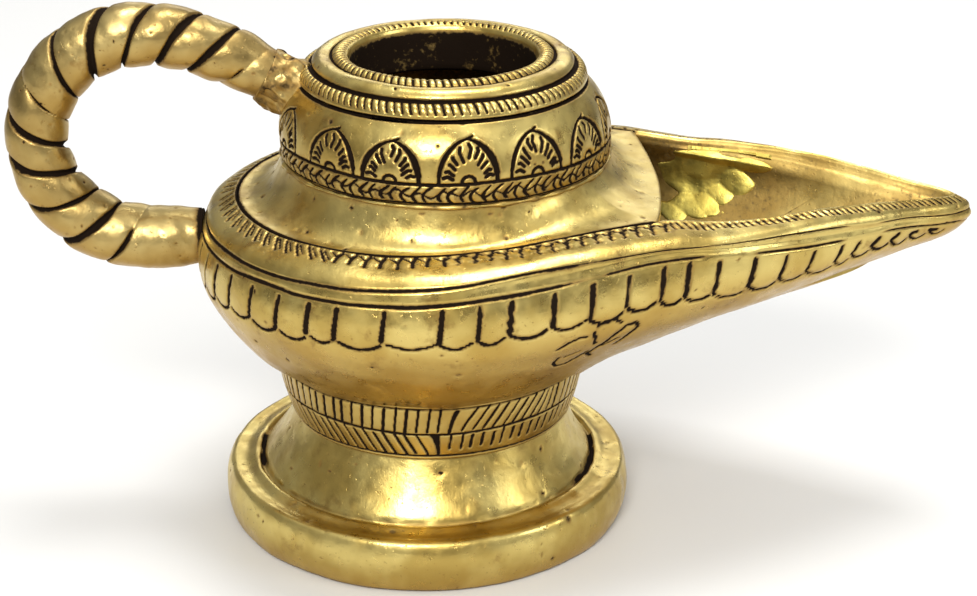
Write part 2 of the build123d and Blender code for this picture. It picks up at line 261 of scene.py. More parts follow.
def brass(name, light=BRASS_LIGHT, deep=BRASS_DEEP, stain=0.5, rough=0.33, grain=1.0):
    """Hand-worked brass: warm and cool patches, brown stains, fine scratches, tarnish in the cuts, and
    painted shade on faces that look down and where the tarnish attribute also holds shade.
    """
    material = bpy.data.materials.new(name)
    material.use_nodes = True
    nodes, links = material.node_tree.nodes, material.node_tree.links
    shader = nodes["Principled BSDF"]
    shader.inputs["Metallic"].default_value = 1.0
    place = nodes.new("ShaderNodeTexCoord").outputs["Object"]

    def feed(node, sockets, values):
        for socket, value in zip(sockets, values):
            if isinstance(value, (tuple, float)):
                node.inputs[socket].default_value = value
            else:
                links.new(value, node.inputs[socket])

    def noise(scale, detail, roughness=0.55, stretch=None):
        node = nodes.new("ShaderNodeTexNoise")
        node.inputs["Scale"].default_value = scale
        node.inputs["Detail"].default_value = detail
        node.inputs["Roughness"].default_value = roughness
        source = place
        if stretch:
            mapping = nodes.new("ShaderNodeMapping")
            mapping.inputs["Scale"].default_value = stretch
            mapping.inputs["Rotation"].default_value = (0.4, 0.2, 0.7)
            links.new(place, mapping.inputs["Vector"])
            source = mapping.outputs["Vector"]
        links.new(source, node.inputs["Vector"])
        return node.outputs["Fac"]

    def band(value, low, high, to_low=0.0, to_high=1.0):
        node = nodes.new("ShaderNodeMapRange")
        node.interpolation_type = "SMOOTHSTEP"
        names = ("Value", "From Min", "From Max", "To Min", "To Max")
        feed(node, names, (value, low, high, to_low, to_high))
        return node.outputs["Result"]

    def mix(factor, first, second):
        node = nodes.new("ShaderNodeMix")
        node.data_type = "RGBA"
        feed(node, (0, 6, 7), (factor, first, second))
        return node.outputs[2]

    def sums(kind, first, second):
        node = nodes.new("ShaderNodeMath")
        node.operation = kind
        feed(node, (0, 1), (first, second))
        return node.outputs[0]

    dirt_and_shade = nodes.new("ShaderNodeAttribute")
    dirt_and_shade.attribute_name = "dirt_and_shade"
    dirt_and_shade = dirt_and_shade.outputs["Fac"]
    patches = band(noise(120, 3), 0.35, 0.65)
    stains = band(noise(260, 5, 0.65), 0.56, 0.74)
    specks = band(noise(1500, 3, 0.6), 0.64, 0.72)
    scratches = noise(900, 4, 0.7, stretch=(1.0, 0.12, 0.5))
    # tarnish in the cuts, and the painted shade that the same attribute holds in places, darken the metal
    # towards brown and near black
    ragged = sums("ADD", dirt_and_shade, sums("MULTIPLY", sums("SUBTRACT", noise(1300, 3), 0.5), 0.7))
    tarnish_and_shade_fill = band(ragged, 0.34, 0.66)
    film = sums("MULTIPLY", band(dirt_and_shade, 0.02, 0.45), 0.75)

    facing = nodes.new("ShaderNodeSeparateXYZ")
    links.new(nodes.new("ShaderNodeNewGeometry").outputs["Normal"], facing.inputs[0])
    # painted shade: faces that look down turn towards a darker brass
    painted_underside_shade = band(facing.outputs["Z"], -0.70, 0.25, 0.78, 0.0)
    metal = mix(patches, light, deep)
    metal = mix(painted_underside_shade, metal, BRASS_SHADED_UNDERSIDE)
    metal = mix(sums("MULTIPLY", stains, stain), metal, BRASS_BROWN)
    metal = mix(sums("MULTIPLY", specks, 0.55), metal, BRASS_BROWN)
    metal = mix(film, metal, BRASS_BROWN)
    colour = mix(tarnish_and_shade_fill, metal, TARNISH_AND_SHADE)
    links.new(colour, shader.inputs["Base Color"])
    links.new(band(tarnish_and_shade_fill, 0.0, 1.0, 1.0, 0.0), shader.inputs["Metallic"])
    links.new(band(tarnish_and_shade_fill, 0.0, 1.0, 0.5, 0.05), shader.inputs["Specular IOR Level"])
    gloss = band(noise(420, 4), 0.3, 0.7, rough - 0.07, rough + 0.09)
    gloss = sums("ADD", gloss, band(film, 0.0, 0.8, 0.0, 0.2))
    links.new(sums("ADD", gloss, band(tarnish_and_shade_fill, 0.0, 1.0, 0.0, 0.3)), shader.inputs["Roughness"])

    grains = sums("MULTIPLY", noise(700, 5, 0.6), 0.6 * grain)
    bumps = sums("ADD", grains, sums("MULTIPLY", scratches, 0.35))
    bumps = sums("SUBTRACT", bumps, sums("MULTIPLY", specks, 0.35))
    bump = nodes.new("ShaderNodeBump")
    bump.inputs["Strength"].default_value = 0.35
    bump.inputs["Distance"].default_value = 0.00025
    links.new(bumps, bump.inputs["Height"])
    links.new(bump.outputs["Normal"], shader.inputs["Normal"])
    return material


CAST = brass("cast_brass")
ENGRAVED = brass("engraved_brass", rough=0.32, stain=0.75)
ROPE = brass(
    "rope_brass", light=(0.53, 0.40, 0.155, 1), deep=(0.37, 0.26, 0.09, 1), stain=0.8, rough=0.37, grain=1.5
)
BRAZE = brass(
    "braze", light=(0.88, 0.75, 0.19, 1), deep=(0.74, 0.59, 0.13, 1), stain=0.25, rough=0.48, grain=2.0
)


# ---- foot ----
NECK_X = 0.7                # the neck stands this far forward of the foot ring
STEP_R, STEP_Z = 23.8, 7.65
FOOT_TOP_Z = 15.9


def foot_axis(z):
    return NECK_X * ramp(z, 8.0, FOOT_TOP_Z)


def build_foot():
    outside = (
        [(25.0, 0.15), (25.5, 0.0), (27.5, 0.0)]
        + arc((28.2, 0.35), (29.0, 4.0), (28.45, 6.9), 24)
        + [(28.2, 7.35), (27.85, 7.6), (27.4, 7.62), (26.5, 7.45), (25.6, 7.6), (24.7, 8.05), (24.2, 8.0)]
        + [(23.8, 7.6), (23.3, 8.15)]
        + arc((23.1, 8.6), (20.9, 12.0), (19.05, 15.88), 18)
    )
    inside = [(16.0, FOOT_TOP_Z), (13.2, FOOT_TOP_Z), (13.0, 14.4)]
    inside += arc((13.2, 13.8), (17.3, 9.4), (23.5, 5.2), 12) + [(24.9, 0.6)]
    points, angle, outer, _, band = turned_shell(outside, inside, 0.33, 1.0, 560, foot_axis)
    shown, hidden = points[:len(outer)], points[len(outer):]
    r = np.hypot(shown[..., 0] - foot_axis(shown[..., 2]), shown[..., 1])
    band.cut(np.hypot(r - STEP_R - 0.16 * waves(shown, 3.0, 12), shown[..., 2] - STEP_Z), 0.5, 0.3)
    # painted shade: the step turns black only at its right and left ends; elsewhere it keeps a patchy light
    # tarnish
    patchy = 0.55 + 0.45 * waves(shown * np.array([1.0, 1.0, 0.0]), 22, 11)
    right = ramp(np.cos(angle), 0.84, 0.92) * (np.sin(angle) < 0.15)
    left = ramp(-np.cos(angle), 0.975, 0.99)
    band.dirt_and_shade *= np.clip(0.14 + 0.22 * patchy + 0.85 * np.maximum(right, left), 0.1, 1)
    relief = shell_relief(points, band, 0)
    relief.pits(points, 80, 0.42, 0.12, 21, 0.5, 15)
    relief.dirt_and_shade[len(outer):] = 0.4 + 0.1 * waves(hidden, 12, 5)
    finish_turned("foot_cast", "foot", points, relief, CAST)


# ---- neck band ----
NECK_R = 21.0               # radius at which its marks are measured round
NECK_TICKS = 88


def build_neck():
    outside = arc((19.9, FOOT_TOP_Z), (21.2, 20.3), (22.1, 24.7), 30)
    inside = [(16.2, 24.7), (16.0, 24.5), (16.0, 16.1), (16.2, FOOT_TOP_Z)]
    points, angle, _, height, band = turned_shell(outside, inside, 0.16, 1.2, 820, NECK_X)
    around = np.broadcast_to(angle * NECK_R, height.shape)
    # middle, lower and upper line
    band.cut(height - (4.5 + 0.12 * np.sin(angle * 5)), 0.2, 0.28)
    band.cut(height - 0.5 - 0.08 * np.sin(3 * angle), 0.18, 0.22, 0.9)
    band.cut(height - 8.6, 0.18, 0.2, 0.7)
    # two rows of ticks; the lean and, in the lower row, the length change a little right of the front
    pitch = FULL_TURN * NECK_R / NECK_TICKS
    off = from_front(angle)
    upper_lean = -0.12 - 0.45 * ramp(off, 0.05, 0.3) * (1 - ramp(off, 0.75, 0.9))
    lower_lean = 0.55 * (1 - ramp(off, -0.08, 0.1)) - 0.1
    shorter = 0.8 * ramp(off, 0.02, 0.15)
    for low, high, lean, short, seed in ((0.9, 4.2, lower_lean, shorter, 5), (4.85, 8.4, upper_lean, 0, 6)):
        rng = np.random.default_rng(seed)
        jitter, width, top = (rng.uniform(-1, 1, NECK_TICKS) for _ in range(3))
        index, offset = cells((around + lean * (height - low)) / pitch, NECK_TICKS)
        local = offset * pitch - 0.16 * jitter[index]
        below = low + 0.2 * top[index] + 1.2 * short - height
        above = height - high + 0.3 * width[index] + 0.3 * short
        distance = np.hypot(local, np.maximum(np.maximum(below, above), 0))
        band.cut(distance / (0.75 + 0.3 * (width[index] > -0.3)), 0.24, 0.28)
    band.stain(0.16)
    relief = shell_relief(points, band, 0.5)
    finish_turned("neck_band_cut", "neck_band", points, relief, ENGRAVED, uneven=0.03)


# ---- collar ----
# Where the arches stand round the collar, in degrees from the front; the spacing is uneven there
ARCHES = (-71.5, -42, -19, 7, 31.5, 56, 79, 102.5, 126, 149, 172, 195.5, 219, 242, 265)
ARCH_HALF, ARCH_HIGH = 3.75, 5.5
COLLAR_X, COLLAR_FOOT_Z = 2.9, 53.2
COLLAR_R = 22.5             # radius at which its lower band is measured round
HOOKS = 96


def arch_half(t):
    """Half width of the arch, t from 0 at its foot to 1 at its point."""
    return ARCH_HALF * (1 - t**2.3) ** 0.66


def arch_point(side, t):
    return side * arch_half(t), 0.15 + ARCH_HIGH * t


def arch_strokes(side, heavy):
    """Segments of one side of the arch with half widths that swell at the shoulder."""
    t = np.sin(np.linspace(0, math.pi / 2, 10))
    marks = []
    for low, high in zip(t[:-1], t[1:]):
        width = 0.20 + heavy * math.sin(math.pi * min(1, (low + high) / 2) ** 0.9)
        marks.append(([arch_point(side, low), arch_point(side, high)], width))
    if side < 0:
        marks.append(([arch_point(side, 1), (0.75, ARCH_HIGH + 0.5)], 0.2))
    return marks


def palmette_lines(rng):
    """Short curved ribs fanning up from the middle of the arch's foot, and a small half ring."""
    ribs = []
    for turn in np.linspace(0.22, math.pi - 0.22, 11):
        turn += rng.uniform(-0.05, 0.05)
        c, s = math.cos(turn), math.sin(turn)
        reach = 0.86 * (ARCH_HALF + (ARCH_HIGH - ARCH_HALF) * s**2) * (1 - 0.16 * math.sin(2 * turn) ** 2)
        start = (0.60 + 0.08 * rng.uniform(-1, 1)) * reach + 0.2
        bend = 0.30 * (1 if c < 0 else -1)
        middle = (start + reach) / 2
        ribs.append([
            (start * c, 0.2 + start * s),
            (middle * c - bend * s, 0.2 + middle * s + abs(bend) * 0.9),
            (reach * c, 0.2 + reach * s),
        ])
    ring = [(0.85 * math.cos(t), 0.15 + 0.8 * math.sin(t)) for t in np.linspace(0, math.pi, 7)]
    return ribs, ring


def cut_arches(band, angle, height, base):
    """The row of arches, each filled with its fan of ribs, standing on the line at height base."""
    rng = np.random.default_rng(12)
    for turn in ARCHES:
        away = from_front(angle - math.radians(turn))
        cols = np.where(np.abs(away) < 0.75 * FULL_TURN / len(ARCHES))[0]
        a = np.broadcast_to(away[cols] * 22.0, (len(height), len(cols)))
        b = height[:, cols] - base[cols] - 0.1
        tilt = 0.06 * rng.uniform(-1, 1)
        a, b = a + tilt * b, b * (1 + 0.05 * rng.uniform(-1, 1))
        part = Relief(a.shape)
        for side, heavy in ((-1, rng.uniform(0.14, 0.30)), (1, rng.uniform(0.24, 0.40))):
            for line, width in arch_strokes(side, heavy):
                part.strokes(a, b, [line], width, 0.5)
        ribs, ring = palmette_lines(rng)
        part.strokes(a, b, ribs, 0.27, 0.28)
        part.strokes(a, b, [ring], 0.25, 0.28)
        inside_arch = (np.abs(a) < arch_half(np.clip(np.abs(b / ARCH_HIGH), 0, 1))) & (b > 0)
        part.stain(0.16 * inside_arch)
        part.height[b <= -0.1] = 0
        part.dirt_and_shade[b <= -0.1] = 0
        band.join(np.s_[:, cols], part)


def build_collar():
    def axis(z):
        return COLLAR_X - 0.3 * np.clip((z - COLLAR_FOOT_Z) / 10, 0, 1)

    outside = [(22.0, COLLAR_FOOT_Z), (22.45, 53.45), (22.62, 54.8), (22.6, 56.2)]
    outside += arc((22.62, 56.4), (22.0, 59.9), (20.2, 62.75), 26) + [(19.75, 63.3), (19.5, 63.6)]
    inside = [(18.6, 63.5), (17.1, 63.0), (17.1, 60.6), (18.4, 58.6)]
    inside += [(19.2, COLLAR_FOOT_Z), (21.6, COLLAR_FOOT_Z)]
    points, angle, _, height, band = turned_shell(outside, inside, 0.15, 0.9, 960, axis)
    around = np.broadcast_to(angle * COLLAR_R, height.shape)
    # lower band of hooks between two lines
    band.cut(height - 0.55 - 0.06 * np.sin(7 * angle), 0.3, 0.35)
    base = 3.35 + 0.07 * np.sin(5 * angle + 1)
    band.cut(height - base, 0.26, 0.35)
    pitch = FULL_TURN * COLLAR_R / HOOKS
    rng = np.random.default_rng(9)
    jitter, weight = rng.uniform(-1, 1, HOOKS), rng.uniform(0, 1, HOOKS)
    hooked = around + 0.75 * np.sin((height - 0.6) * 1.55) + 0.12 * np.sin(around * 1.9)
    index, offset = cells(hooked / pitch, HOOKS)
    local = offset * pitch - 0.22 * jitter[index]
    beyond = np.maximum(0.9 + 0.3 * weight[index] - height, height - 2.95 + 0.35 * weight[index - 1])
    band.cut(np.hypot(local, np.maximum(beyond, 0)), 0.27, 0.3)
    band.cut(height - 1.95 - 0.35 * np.sin(around * 2.1) - 0.2 * np.sin(around * 0.9), 0.2, 0.15, 0.75)
    in_band = (height > 0.5) & (height < 3.3)
    soot = 0.20 + 0.34 * ramp(np.sin(angle - FRONT - 0.62), 0.6, 0.99) + 0.2 * weight[index] ** 2
    band.stain(np.where(in_band, soot, 0))
    cut_arches(band, angle, height, base)
    band.cut(height - height[-1], 0.32, 0.2)
    relief = shell_relief(points, band, 0.4)
    relief.pits(points, 46, 0.4, 0.1, 31, 54, 64)
    finish_turned("collar_cut", "collar", points, relief, ENGRAVED)


# ---- rim ----
RIM_X = 2.6
# Grooves: radius and height of the line, half width, depth
RIM_GROOVES = (((17.9, 65.72), 0.42, 0.35), ((15.1, 66.72), 0.26, 0.2), ((19.3, 63.55), 0.4, 0.25))
# Milled bands: number of beads, radius and height of the band's two edges, how far the beads swell, seed
RIM_BANDS = (
    (112, (19.42, 64.45), (18.2, 65.7), 0.14, 2),
    (92, (14.9, 66.95), (13.1, 67.22), 0.12, 3),
)
BEAD_LEAN = 0.45            # share of a bead by which it leans over the band's width


def build_rim():
    outside = [(19.1, 63.5), (19.4, 63.75)] + arc((19.5, 64.0), (19.05, 65.1), (18.15, 65.72), 14)
    outside += [(17.88, 65.72)] + arc((17.75, 65.98), (16.9, 66.95), (15.35, 66.95), 16)
    outside += [(15.1, 66.72)] + arc((14.9, 66.95), (14.0, 67.42), (13.1, 67.22), 14)
    outside += [(12.85, 67.0), (12.65, 66.5)]
    inside = [(12.6, 65.9), (12.6, 60.7), (17.0, 60.7), (17.0, 63.0), (18.8, 63.1)]
    points, angle, outer, height, band = turned_shell(outside, inside, 0.13, 0.7, 900, RIM_X)
    r, z = outer[:, :1] + 0 * angle, outer[:, 1:] + 0 * angle
    for (groove_r, groove_z), half, depth in RIM_GROOVES:
        band.cut(np.hypot(r - groove_r, z - groove_z), half, depth)
    for count, low, high, bulge, seed in RIM_BANDS:
        jitter = np.random.default_rng(seed).uniform(-1, 1, count + 1)
        start, stop = (height[np.argmin(np.linalg.norm(outer - edge, axis=1)), 0] for edge in (low, high))
        t = (height - start) / (stop - start)
        index, offset = cells(angle / FULL_TURN * count + BEAD_LEAN * t, count)
        local = offset + 0.07 * jitter[index]
        on = (t > -0.02) & (t < 1.02)
        bead = np.sin(np.clip(t, 0, 1) * math.pi)
        band.height += np.where(on, bulge * bead * (1 - (2 * local) ** 2), 0)
        part = Relief(height.shape)
        part.cut((0.5 - np.abs(local)) * FULL_TURN * low[0] / count, 0.19, 0.17, 0.8)
        band.height += np.where(on, part.height, 0)
        edges = 0.30 * np.abs(2 * t - 1) ** 2
        band.stain(np.where(on, np.maximum(part.dirt_and_shade, edges), 0))
    band.stain(ramp(-z, -66.9, -66.3) * (r < 13) * 0.4)
    relief = shell_relief(points, band, 0.72 + 0.06 * waves(points[len(outer):], 5, 34))
    relief.pits(points, 20, 0.35, 0.08, 33, 65, 68)
    finish_turned("rim_milled", "rim_ring", points, relief, ENGRAVED, uneven=0.035)


# ---- bowl and spout ----
# Each level is a plan outline: height at the back, centre, radius of the round back, x of its point
# at the spout, which of the lines below lifts it (0 none to 3 the crest), and how far it is pinched in.
OUTER_LEVELS = (
    (24.7, 0.7, 16.0, 16.8, 0.0, 0.0),
    (24.75, 0.7, 22.0, 23.1, 0.0, 0.0),
    (25.6, 0.75, 23.6, 25.6, 0.0, 0.0),
    (27.0, 0.8, 25.6, 30.2, 0.0, 0.0),
    (29.6, 0.9, 28.1, 38.9, 0.0, 0.0),
    (33.0, 1.1, 30.6, 50.4, 0.0, 0.0),
    (36.8, 1.25, 32.5, 62.9, 0.0, 0.0),
    (40.2, 1.4, 32.9, 72.6, 0.4, 0.2),
    (43.1, 1.55, 32.3, 76.0, 1.0, 0.5),
    (44.7, 1.5, 31.7, 76.0, 2.0, 0.8),
    (46.0, 0.8, 30.2, 75.7, 2.35, 1.2),
    (47.0, 0.3, 27.9, 74.9, 2.7, 1.8),
    (47.9, -0.2, 25.5, 73.6, 3.0, 2.2),
)
INNER_LEVELS = (
    (47.2, -0.2, 25.3, 73.2, 3.0, 2.2),
    (45.4, 0.2, 25.4, 71.8, 2.4, 1.8),
    (42.0, 0.8, 28.0, 67.0, 0.6, 0.6),
    (38.0, 1.0, 29.6, 56.0, 0.0, 0.0),
    (33.0, 1.0, 27.8, 41.2, 0.0, 0.0),
    (29.5, 0.9, 24.4, 31.0, 0.0, 0.0),
    (27.6, 0.8, 20.0, 24.0, 0.0, 0.0),
)
# How the lip's lines rise to the spout and fall to its point: x and lift above the back, in mm
LOWER_GROOVE_LIFT = ((-10, 0.1), (1, 0.6), (8, 1.1), (16, 1.7), (22, 2.5), (28, 3.2), (34, 3.3), (43, 2.5),
                     (50, 1.9), (57, 1.5), (64, 1.2), (69, 0.4), (75, -0.2))
UPPER_GROOVE_LIFT = ((-20, 0.1), (-12, 0.35), (-3, 0.75), (5, 1.45), (10, 2.05), (17, 2.7), (24, 2.9),
                     (30, 3.05), (40, 2.6), (47, 2.6), (55, 2.1), (60, 1.4), (66, 0.8), (70, 0.1),
                     (75, -0.5))
CREST_LIFT = ((-5, 0), (5, 0.2), (11, 0.65), (17, 1.25), (22, 1.6), (30, 1.67), (40, 0.85), (47, 0.8),
              (55, 0.65), (60, 0.1), (66, -0.7), (70, -1.2), (75, -1.9))
SLIMMED = 1.0               # how much slimmer the spout is at the grooves than a plain outline
SIDE_BOW = 1.9              # radius of the bowed sides, as a share of the spout's reach
BACK_SHARE = 0.40           # share of each half outline's columns that lies on the round back
LIP_POINT, KEEL_POINT = (2.6, 9.0), (5.0, 15.0)     # how blunt the point is, and over what length
PINCH_X, PINCH_RUN = 30, 11
# Rows, as levels of the outside: the two grooves, the row where the stamps are spaced, and the crest
BELT, UPPER_GROOVE, STAMPED, CREST = 8.0, 9.0, 11.3, 12.0


def lifted(x, rank):
    """Lift at x: rank 0 is none, 1 the lower groove's, 2 the upper groove's, 3 the crest's."""
    lines = [0 * x]
    for line in (LOWER_GROOVE_LIFT, UPPER_GROOVE_LIFT, CREST_LIFT):
        places, lifts = zip(*line)
        lines.append(smooth(places, lifts, x) * ramp(x, places[0] - 12, places[0]))
    low = int(min(rank, 2.999))
    return lines[low] + (rank - low) * (lines[low + 1] - lines[low])


def half_outline(level, u, point):
    """x, half width and height along one level, for u from 0 at the back to 1 at the spout's point."""
    z_back, centre, radius, tip, rank, pinch = level
    blunt, blunt_run = point
    reach = tip - centre
    side = max(SIDE_BOW * reach, 1.03 * radius)
    swing = side - radius
    turn = math.acos(max(-1.0, min(1.0, (side**2 - swing**2 - reach**2) / (2 * reach * swing))))
    hub_x, hub_y = centre - swing * math.cos(turn), -swing * math.sin(turn)
    join_x = centre + radius * math.cos(turn)
    back = math.pi - (math.pi - turn) * np.clip(u / BACK_SHARE, 0, 1)
    t = np.clip((u - BACK_SHARE) / (1 - BACK_SHARE), 0, 1)
    x_side = join_x + (tip - join_x) * np.sin(0.5 * math.pi * t**0.9)
    x = np.where(u <= BACK_SHARE, centre + radius * np.cos(back), x_side)
    w_side = np.sqrt(np.maximum(side**2 - (x_side - hub_x) ** 2, 0)) + hub_y
    w = np.where(u <= BACK_SHARE, radius * np.sin(back), w_side)
    left = np.clip((tip - x) / blunt_run, 0, 1)
    w = w + np.where(u > BACK_SHARE, blunt * np.sqrt(left) * (1 - left) ** 2, 0)
    at_groove = max(0.0, 1 - abs(rank - 1.5) / 1.2)
    slim = SLIMMED * at_groove * ramp(x, 0, 22) * (1 - ramp(x, 60, 74))
    w = np.maximum(w - slim - pinch * np.exp(-(((x - PINCH_X) / PINCH_RUN) ** 2)), 0)
    w = np.where(u >= 1, 0, w)
    return x, w, z_back + lifted(x, rank)


def level_at(levels, v):
    """The level at a fractional index."""
    table = np.array(levels)
    knots = np.arange(len(table))
    return [float(smooth(knots, table[:, k], np.array([v]))[0]) for k in range(table.shape[1])]


def full_outline(level, u, point):
    """Closed ring of points: back, near side, point, far side."""
    x, w, z = half_outline(level, u, point)
    near = np.stack([x, -w, z], -1)
    far = np.stack([x, w, z], -1)[1:-1][::-1]
    return np.concatenate([near, far])


BOWL_COLS = 482
SHARES = np.linspace(0, 1, BOWL_COLS)


def bowl_rows():
    """Fractional levels for the rows of the outside, close together where the graver has worked."""
    return np.concatenate([
        np.array([0.0, 0.6]),
        np.linspace(1, 4, 9)[:-1],
        np.linspace(4, 6, 40)[:-1],
        np.linspace(6, 8, 30)[:-1],
        np.linspace(8, 10, 16)[:-1],
        np.linspace(10, 12, 26),
    ])


STAMPS = 62                 # punch marks along each side of the lip
NEAR_SEED, FAR_SEED = 1, 2
# Widths in mm of the hand-cut tongues under the lip, from the handle along one side to the spout
TONGUES = (
    4.2, 4.4, 4.0, 4.1, 4.7, 4.8, 4.9, 4.0, 6.3, 7.3, 4.8, 4.1, 5.7, 5.2, 5.1, 4.9,
    3.6, 4.4, 5.3, 5.0, 4.5, 4.9, 3.0, 3.5, 3.7, 3.7, 3.6, 3.4,
)


def run_along(points):
    """Distance along each row of a half ring, in mm."""
    steps = np.linalg.norm(np.diff(points, axis=1), axis=-1)
    return np.concatenate([np.zeros((points.shape[0], 1)), np.cumsum(steps, axis=1)], axis=1)


def tongue_lines(seed):
    """Strokes of the tongue belt in the plane (distance along the belt, depth below the groove)."""
    rng = np.random.default_rng(seed)
    uprights, bows = [], []
    at, deep = 2.5, 5.6
    for k, width in enumerate(TONGUES):
        if seed == FAR_SEED:
            width = width + rng.uniform(-0.4, 0.4)
        depth = deep * (1 if k < 19 else 1 - 0.09 * (k - 18)) + rng.uniform(-0.25, 0.25)
        lean = 0.4 if k < 14 else 0.4 + 0.07 * (k - 13)
        uprights.append(([(at, 0.9), (at - lean, depth - 0.5)], rng.uniform(0.27, 0.44)))
        sag = 0.95 + rng.uniform(-0.2, 0.2)
        # the bow hangs from the next upright near the handle and from its own one near the spout
        gaps = (0.15, 0.75) if k > 9 else (0.7, 0.15)
        left, right = at - lean + gaps[0], at + width - lean - gaps[1]
        mid = (left + right) / 2
        bow = [
            (x, depth - 0.25 + sag * (1 - ((x - mid) / (0.55 * (right - left))) ** 2))
            for x in np.linspace(left, right, 7)
        ]
        bows.append((bow, rng.uniform(0.2, 0.3)))
        at += width
    return uprights + bows


def stamp_lines(count, length, seed):
    """Hooked punch marks along the lip, in the plane (distance along, distance in from the groove)."""
    rng = np.random.default_rng(seed)
    marks = []
    for k in range(count):
        s = length * (k + 0.5) / count + rng.uniform(-0.12, 0.12)
        share = k / count
        if share < 0.24:
            marks.append(([(s - 0.45, 0.8), (s + 0.35, 2.8)], 0.3))
            marks.append(([(s + 0.2, 0.9), (s + 0.95, 2.3)], 0.24))
        elif share < 0.60:
            low = 2.9 + rng.uniform(-0.2, 0.2)
            marks.append(([(s + 0.95, 0.75), (s + 0.35, 1.5), (s - 0.35, low)], 0.32))
            marks.append(([(s - 0.55, 0.85), (s + 0.1, 1.75)], 0.28))
        else:
            high, low = (0.5, 1.75) if share > 0.66 else (0.7, 2.3)
            for step in (-0.25 * length / count, 0.25 * length / count):
                marks.append(([(s + step + 0.2, high), (s + step - 0.1, low)], 0.27))
    return marks


def windowed(relief, a, b, marks, depth, dark, rows, reach):
    """Cuts strokes one by one, each only in the columns near it."""
    for line, half in marks:
        low, high = min(p[0] for p in line) - reach, max(p[0] for p in line) + reach
        cols = np.where(((a[rows] > low) & (a[rows] < high)).any(axis=0))[0]
        if not len(cols):
            continue
        block = np.ix_(rows, cols)
        part = Relief((len(rows), len(cols)))
        part.strokes(a[block], b[block], [line], half, depth, dark)
        relief.join(block, part)


# Scratched flower low on the near side: distance along the bowl, depth below the belt line, in mm
FLOWER = (
    ([(66.6, 9.4), (67.9, 8.6), (69.3, 8.1), (70.4, 8.2)], 0.22),
    ([(67.2, 11.9), (66.7, 13.2), (67.3, 14.4), (68.6, 14.3), (70.0, 13.2), (71.2, 12.0)], 0.24),
    ([(68.0, 12.0), (70.0, 11.2)], 0.14),
    ([(71.3, 7.7), (71.6, 8.8), (71.9, 10.2)], 0.26),
    ([(71.7, 7.0), (72.6, 6.3), (73.9, 6.3), (75.0, 7.3)], 0.20),
    ([(73.0, 11.2), (74.5, 9.4), (76.0, 8.1), (77.3, 8.1), (77.7, 9.1), (76.6, 10.4), (75.2, 12.2)], 0.26),
    ([(73.2, 11.5), (75.2, 10.5)], 0.14),
    ([(71.5, 12.7), (72.7, 11.2)], 0.28),
    ([(71.3, 12.6), (72.2, 13.9)], 0.26),
)


def measured_along(points, row, along):
    """For every point, the distance along that row of the nearest place on it, in plan."""
    line = points[row, :, :2]
    tangent = np.gradient(line, axis=0)
    tangent /= np.linalg.norm(tangent, axis=1, keepdims=True) + 1e-9
    result = np.empty(points.shape[:2])
    for k in range(points.shape[0]):
        here = points[k, :, :2]
        nearest = ((here[:, None] - line[None]) ** 2).sum(-1).argmin(1)
        result[k] = along[nearest] + ((here - line[nearest]) * tangent[nearest]).sum(-1)
    return result


def carve_half(points, v, seed):
    """Engraving of one side of the bowl: points is rows by columns from the back to the point."""
    relief = Relief(points.shape[:2])
    down = np.concatenate([
        np.zeros((1, points.shape[1])),
        np.cumsum(np.linalg.norm(np.diff(points, axis=0), axis=-1), axis=0),
    ])

    def depth_below(level):
        row = int(np.argmin(np.abs(v - level)))
        return down[row] - down

    belt = depth_below(BELT)
    along = run_along(points)
    belt_row = int(np.argmin(np.abs(v - BELT)))
    s_belt = measured_along(points, belt_row, along[belt_row])
    wander = 0.10 * np.sin(s_belt / 7 + seed) + 0.06 * np.sin(s_belt / 2.3)
    taper = np.clip((s_belt[0][-1] - s_belt) / 10, 0.35, 1)
    relief.cut(belt - wander, 0.27 * taper, 0.3)
    relief.cut(depth_below(UPPER_GROOVE) + wander * 0.8, 0.27 * taper, 0.3)
    rows = np.where((v > 5.6) & (v < 8.2))[0]
    windowed(relief, s_belt, belt, tongue_lines(seed), 0.3, 1.0, rows, 1.6)
    if seed == NEAR_SEED:
        rows = np.where((v > 3.8) & (v < 7.2))[0]
        windowed(relief, s_belt, belt, FLOWER, 0.22, 1.0, rows, 1.6)
    lip = depth_below(CREST)
    along_lip = along[int(np.argmin(np.abs(v - STAMPED)))]
    s_lip = np.broadcast_to(along_lip, along.shape)
    rows = np.where(v > 10.2)[0]
    windowed(relief, s_lip, lip, stamp_lines(STAMPS, along_lip[-1], seed), 0.28, 0.75, rows, 1.2)
    # the metal swells between the stamps
    phase = (s_lip / along_lip[-1] * STAMPS + 0.5) * FULL_TURN
    relief.height += 0.12 * (0.5 - 0.5 * np.cos(phase + math.pi)) * np.exp(-(((lip - 2.0) / 0.8) ** 2))
    # the joint with the deck, which leaves the lip where the spout opens
    relief.cut(lip - 0.1 + 3 * ramp(points[..., 0], 29, 36), 0.42, 0.3)
    return relief


